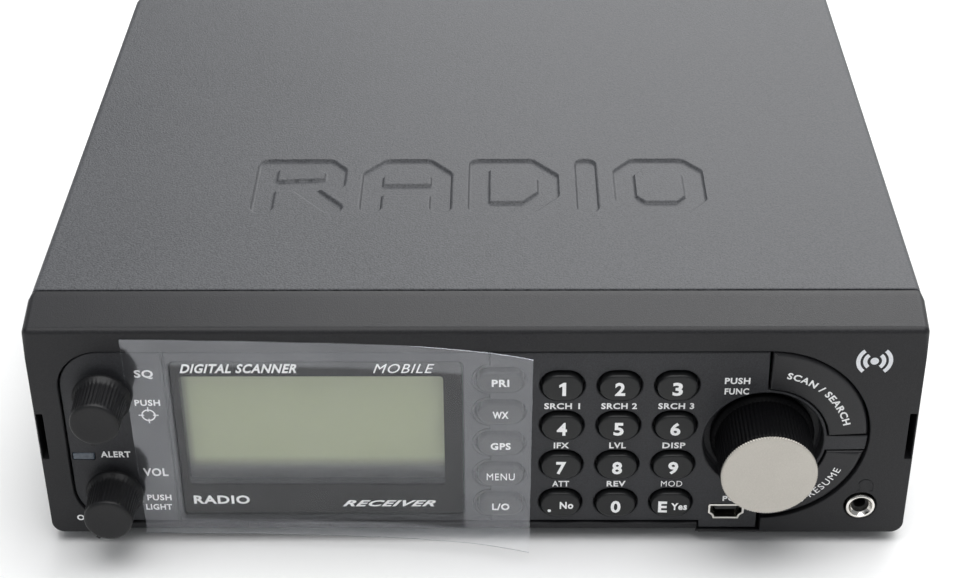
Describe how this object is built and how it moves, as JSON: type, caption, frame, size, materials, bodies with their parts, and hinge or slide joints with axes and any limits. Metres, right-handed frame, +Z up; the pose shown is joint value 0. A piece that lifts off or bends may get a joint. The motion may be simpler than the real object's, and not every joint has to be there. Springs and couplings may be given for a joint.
{
  "type": "police scanner",
  "caption": "Desktop and in-car radio scanner: steel case, moulded front with keypad, green display, tuning dial, two knobs and rear connectors.",
  "frame": {"origin": "bottom centre of the object's bounding box: on the surface it stands on, below the middle of its box", "axes": "+X to the right seen from the front, +Y from the front panel to the rear panel, +Z up"},
  "size_m": [0.185, 0.1768, 0.056],
  "materials": {
    "bezel_plastic": "satin moulded black with a fine texture",
    "case_paint": "fine-textured dark grey paint",
    "panel_plastic": "fine-grained charcoal paint",
    "key_rubber": "satin black with white legends",
    "key_plastic": "satin charcoal with white legends",
    "knob_plastic": "semi-gloss black, fluted",
    "dial_silver": "fine matte silver",
    "window_acrylic": "clear acrylic with a printed dark border",
    "display_green": "unlit olive-grey liquid crystal display",
    "clear_film": "thin glossy clear protective film",
    "light_pipe": "translucent blue-grey",
    "connector_nickel": "bright nickel plate",
    "connector_black": "moulded black",
    "shaft_steel": "plated steel",
    "screw_black": "black oxide",
    "board_green": "green solder mask",
    "ribbon_amber": "amber flexible circuit",
    "foot_rubber": "matte black rubber"
  },
  "bodies": {
    "root": {"front_bezel": "bezel_plastic", "top_cover": "case_paint", "chassis_tray": "case_paint", "rear_panel": "case_paint", "control_panel": "panel_plastic", "display_window": "window_acrylic", "display_module": "display_green", "alert_light": "light_pipe", "protective_film": "clear_film", "front_board": "board_green", "main_board": "board_green", "ribbon_cable": "ribbon_amber", "speaker": "connector_black", "headphone_jack": "connector_nickel", "data_port": "connector_nickel", "antenna_connector": "connector_nickel", "power_jack": "connector_black", "power_header": "connector_black", "audio_jack_pair": "connector_black", "serial_port": "connector_nickel", "squelch_housing": "connector_black", "volume_housing": "connector_black", "dial_housing": "connector_black", "foot_front_left": "foot_rubber", "foot_front_right": "foot_rubber", "foot_rear_left": "foot_rubber", "foot_rear_right": "foot_rubber", "cover_screw_left_front": "screw_black", "cover_screw_left_rear": "screw_black", "cover_screw_right_front": "screw_black", "cover_screw_right_rear": "screw_black"},
    "key_1": {"key_1": "key_rubber"},
    "key_2": {"key_2": "key_rubber"},
    "key_3": {"key_3": "key_rubber"},
    "key_4": {"key_4": "key_rubber"},
    "key_5": {"key_5": "key_rubber"},
    "key_6": {"key_6": "key_rubber"},
    "key_7": {"key_7": "key_rubber"},
    "key_8": {"key_8": "key_rubber"},
    "key_9": {"key_9": "key_rubber"},
    "key_point": {"key_point": "key_rubber"},
    "key_0": {"key_0": "key_rubber"},
    "key_enter": {"key_enter": "key_rubber"},
    "key_priority": {"key_priority": "key_rubber"},
    "key_weather": {"key_weather": "key_rubber"},
    "key_location": {"key_location": "key_rubber"},
    "key_menu": {"key_menu": "key_rubber"},
    "key_lockout": {"key_lockout": "key_rubber"},
    "key_scan": {"key_scan": "key_plastic"},
    "key_hold": {"key_hold": "key_plastic"},
    "squelch_turning": {"squelch_rotor": "connector_black"},
    "squelch_push": {"squelch_shaft": "shaft_steel", "squelch_knob": "knob_plastic"},
    "volume_turning": {"volume_rotor": "connector_black"},
    "volume_push": {"volume_shaft": "shaft_steel", "volume_knob": "knob_plastic"},
    "dial_turning": {"dial_rotor": "connector_black"},
    "dial_push": {"dial_shaft": "shaft_steel", "dial_knob": "knob_plastic", "dial_cap": "dial_silver"}
  },
  "joints": [
    {"name": "key_1_press", "type": "slide", "parent": "root", "child": "key_1", "axis": [0, 1, 0], "range_m": [0, 0.0008], "stiffness_N_per_m": 400},
    {"name": "key_2_press", "type": "slide", "parent": "root", "child": "key_2", "axis": [0, 1, 0], "range_m": [0, 0.0008], "stiffness_N_per_m": 400},
    {"name": "key_3_press", "type": "slide", "parent": "root", "child": "key_3", "axis": [0, 1, 0], "range_m": [0, 0.0008], "stiffness_N_per_m": 400},
    {"name": "key_4_press", "type": "slide", "parent": "root", "child": "key_4", "axis": [0, 1, 0], "range_m": [0, 0.0008], "stiffness_N_per_m": 400},
    {"name": "key_5_press", "type": "slide", "parent": "root", "child": "key_5", "axis": [0, 1, 0], "range_m": [0, 0.0008], "stiffness_N_per_m": 400},
    {"name": "key_6_press", "type": "slide", "parent": "root", "child": "key_6", "axis": [0, 1, 0], "range_m": [0, 0.0008], "stiffness_N_per_m": 400},
    {"name": "key_7_press", "type": "slide", "parent": "root", "child": "key_7", "axis": [0, 1, 0], "range_m": [0, 0.0008], "stiffness_N_per_m": 400},
    {"name": "key_8_press", "type": "slide", "parent": "root", "child": "key_8", "axis": [0, 1, 0], "range_m": [0, 0.0008], "stiffness_N_per_m": 400},
    {"name": "key_9_press", "type": "slide", "parent": "root", "child": "key_9", "axis": [0, 1, 0], "range_m": [0, 0.0008], "stiffness_N_per_m": 400},
    {"name": "key_point_press", "type": "slide", "parent": "root", "child": "key_point", "axis": [0, 1, 0], "range_m": [0, 0.0008], "stiffness_N_per_m": 400},
    {"name": "key_0_press", "type": "slide", "parent": "root", "child": "key_0", "axis": [0, 1, 0], "range_m": [0, 0.0008], "stiffness_N_per_m": 400},
    {"name": "key_enter_press", "type": "slide", "parent": "root", "child": "key_enter", "axis": [0, 1, 0], "range_m": [0, 0.0008], "stiffness_N_per_m": 400},
    {"name": "key_priority_press", "type": "slide", "parent": "root", "child": "key_priority", "axis": [0, 1, 0], "range_m": [0, 0.0008], "stiffness_N_per_m": 400},
    {"name": "key_weather_press", "type": "slide", "parent": "root", "child": "key_weather", "axis": [0, 1, 0], "range_m": [0, 0.0008], "stiffness_N_per_m": 400},
    {"name": "key_location_press", "type": "slide", "parent": "root", "child": "key_location", "axis": [0, 1, 0], "range_m": [0, 0.0008], "stiffness_N_per_m": 400},
    {"name": "key_menu_press", "type": "slide", "parent": "root", "child": "key_menu", "axis": [0, 1, 0], "range_m": [0, 0.0008], "stiffness_N_per_m": 400},
    {"name": "key_lockout_press", "type": "slide", "parent": "root", "child": "key_lockout", "axis": [0, 1, 0], "range_m": [0, 0.0008], "stiffness_N_per_m": 400},
    {"name": "key_scan_press", "type": "slide", "parent": "root", "child": "key_scan", "axis": [0, 1, 0], "range_m": [0, 0.0008], "stiffness_N_per_m": 400},
    {"name": "key_hold_press", "type": "slide", "parent": "root", "child": "key_hold", "axis": [0, 1, 0], "range_m": [0, 0.0008], "stiffness_N_per_m": 400},
    {"name": "squelch_turn", "type": "hinge", "parent": "root", "child": "squelch_turning", "pos_m": [-0.0766, -0.06945, 0.04], "axis": [0, 1, 0], "range_deg": [0, 300]},
    {"name": "squelch_push_in", "type": "slide", "parent": "squelch_turning", "child": "squelch_push", "axis": [0, 1, 0], "range_m": [0, 0.0005], "stiffness_N_per_m": 600},
    {"name": "volume_turn", "type": "hinge", "parent": "root", "child": "volume_turning", "pos_m": [-0.0766, -0.06945, 0.015], "axis": [0, 1, 0], "range_deg": [0, 300]},
    {"name": "volume_push_in", "type": "slide", "parent": "volume_turning", "child": "volume_push", "axis": [0, 1, 0], "range_m": [0, 0.0005], "stiffness_N_per_m": 600},
    {"name": "dial_turn", "type": "hinge", "parent": "root", "child": "dial_turning", "pos_m": [0.06001, -0.06945, 0.02721], "axis": [0, 1, 0], "continuous": true},
    {"name": "dial_push_in", "type": "slide", "parent": "dial_turning", "child": "dial_push", "axis": [0, 1, 0], "range_m": [0, 0.0005], "stiffness_N_per_m": 600}
  ]
}
